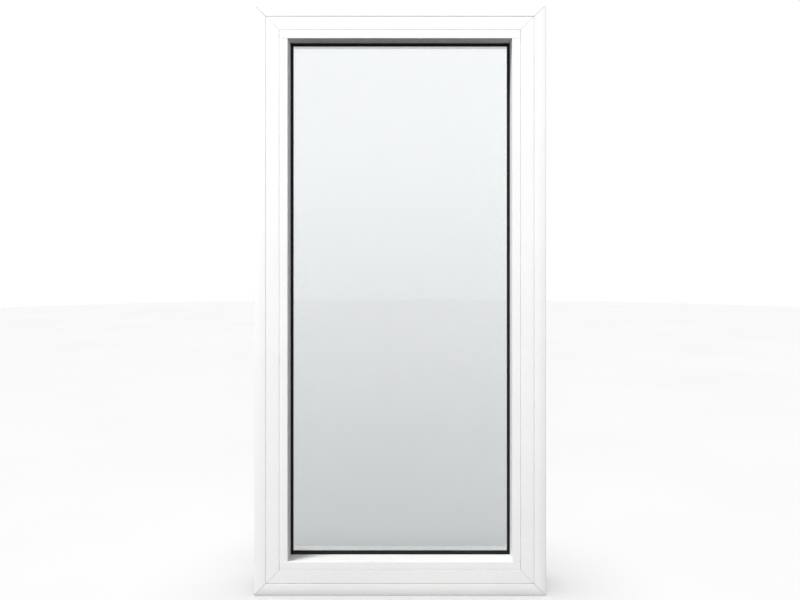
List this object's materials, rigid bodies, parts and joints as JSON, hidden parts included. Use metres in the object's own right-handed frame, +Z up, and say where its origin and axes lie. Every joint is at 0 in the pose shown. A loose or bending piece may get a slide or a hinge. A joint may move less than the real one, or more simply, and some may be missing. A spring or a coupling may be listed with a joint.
{
  "type": "casement window",
  "caption": "Tall outward-opening casement window with a mitred frame, double-glazed sash, crank operator and side lock.",
  "frame": {"origin": "middle of the sill's underside, at mid-width and mid-depth of the frame", "axes": "+Z up, -Y towards the outside, +Y into the room, +X to the right seen from outside; the sash hinges at -X"},
  "size_m": [0.597, 0.1464, 1.207],
  "materials": {
    "frame_paint": "white satin powder coat",
    "hardware_paint": "white smooth coat",
    "stainless": "satin",
    "seal_rubber": "matt",
    "spacer_black": "matt",
    "key_aluminium": "mill",
    "nylon": "moulded",
    "glazing": "clear"
  },
  "bodies": {
    "frame": {"frame_head": "frame_paint", "frame_sill": "frame_paint", "frame_jamb_left": "frame_paint", "frame_jamb_right": "frame_paint", "frame_key_lower_left": "key_aluminium", "frame_key_lower_right": "key_aluminium", "frame_key_upper_left": "key_aluminium", "frame_key_upper_right": "key_aluminium", "frame_seal": "seal_rubber", "hinge_track_bottom": "stainless", "hinge_track_top": "stainless", "operator_base": "stainless", "operator_cover": "hardware_paint", "lock_escutcheon": "hardware_paint", "tie_bar_guide_lower": "stainless", "tie_bar_guide_upper": "stainless"},
    "hinge_arms": {"support_arm_bottom": "stainless", "support_arm_top": "stainless"},
    "sash": {"sash_bottom_rail": "frame_paint", "sash_top_rail": "frame_paint", "sash_hinge_stile": "frame_paint", "sash_lock_stile": "frame_paint", "sash_key_lower_left": "key_aluminium", "sash_key_lower_right": "key_aluminium", "sash_key_upper_left": "key_aluminium", "sash_key_upper_right": "key_aluminium", "bead_bottom": "frame_paint", "bead_top": "frame_paint", "bead_left": "frame_paint", "bead_right": "frame_paint", "outer_pane": "glazing", "inner_pane": "glazing", "spacer_frame": "spacer_black", "edge_sealant": "seal_rubber", "outer_gasket": "seal_rubber", "inner_glazing_tape": "seal_rubber", "setting_block_left": "seal_rubber", "setting_block_right": "seal_rubber", "sash_arm_bottom": "stainless", "sash_arm_top": "stainless", "operator_channel": "stainless", "keeper_lower": "stainless", "keeper_upper": "stainless"},
    "hinge_shoes": {"hinge_shoe_bottom": "nylon", "hinge_shoe_top": "nylon"},
    "gear_arm": {"operator_arm": "stainless", "arm_roller": "nylon"},
    "worm_drive": {"worm_shaft": "stainless", "crank_hub": "hardware_paint", "crank_pin": "stainless"},
    "handle": {"crank_handle": "hardware_paint"},
    "knob": {"crank_knob": "hardware_paint"},
    "lever": {"lock_lever": "hardware_paint", "lock_pinion": "stainless"},
    "lock_bar": {"tie_bar": "stainless", "drive_rack": "stainless", "lock_roller_lower": "stainless", "lock_roller_upper": "stainless"}
  },
  "joints": [
    {"name": "sash_opening", "type": "hinge", "parent": "frame", "child": "hinge_arms", "pos_m": [-0.1417, -0.0388, 0.6035], "axis": [0, 0, 1], "range_deg": [0, 80]},
    {"name": "sash_on_arms", "type": "hinge", "parent": "hinge_arms", "child": "sash", "pos_m": [-0.2017, -0.0388, 0.6035], "axis": [0, 0, 1], "range_deg": [-160, 0]},
    {"name": "shoe_on_sash", "type": "hinge", "parent": "sash", "child": "hinge_shoes", "pos_m": [-0.2617, -0.0388, 0.6035], "axis": [0, 0, 1], "range_deg": [0, 80]},
    {"name": "operator_swing", "type": "hinge", "parent": "frame", "child": "gear_arm", "pos_m": [-0.0697, 0.0252, 0.0297], "axis": [0, 0, 1], "range_deg": [0, 51.6]},
    {"name": "worm_turn", "type": "hinge", "parent": "frame", "child": "worm_drive", "pos_m": [-0.0422, 0.0252, 0.0297], "axis": [0, 1, 0], "range_deg": [0, 1857.5]},
    {"name": "crank_fold", "type": "hinge", "parent": "worm_drive", "child": "handle", "pos_m": [-0.0422, 0.0683, 0.0297], "axis": [0, 0, 1], "range_deg": [0, 180]},
    {"name": "knob_spin", "type": "hinge", "parent": "handle", "child": "knob", "pos_m": [0.0578, 0.0683, 0.0297], "axis": [0, 1, 0], "continuous": true},
    {"name": "lock_lever_turn", "type": "hinge", "parent": "frame", "child": "lever", "pos_m": [0.277, 0.03465, 0.44], "axis": [-1, 0, 0], "range_deg": [0, 150]},
    {"name": "tie_bar_slide", "type": "slide", "parent": "frame", "child": "lock_bar", "axis": [0, 0, 1], "range_m": [0, 0.021]}
  ],
  "couplings": [
    {"joint": "sash_on_arms", "follows": "sash_opening", "ratio": -2},
    {"joint": "shoe_on_sash", "follows": "sash_opening", "ratio": 1},
    {"joint": "operator_swing", "follows": "sash_opening", "ratio": 0.64478},
    {"joint": "worm_turn", "follows": "sash_opening", "ratio": 23.212},
    {"joint": "tie_bar_slide", "follows": "lock_lever_turn", "m_per_rad": 0.008}
  ]
}
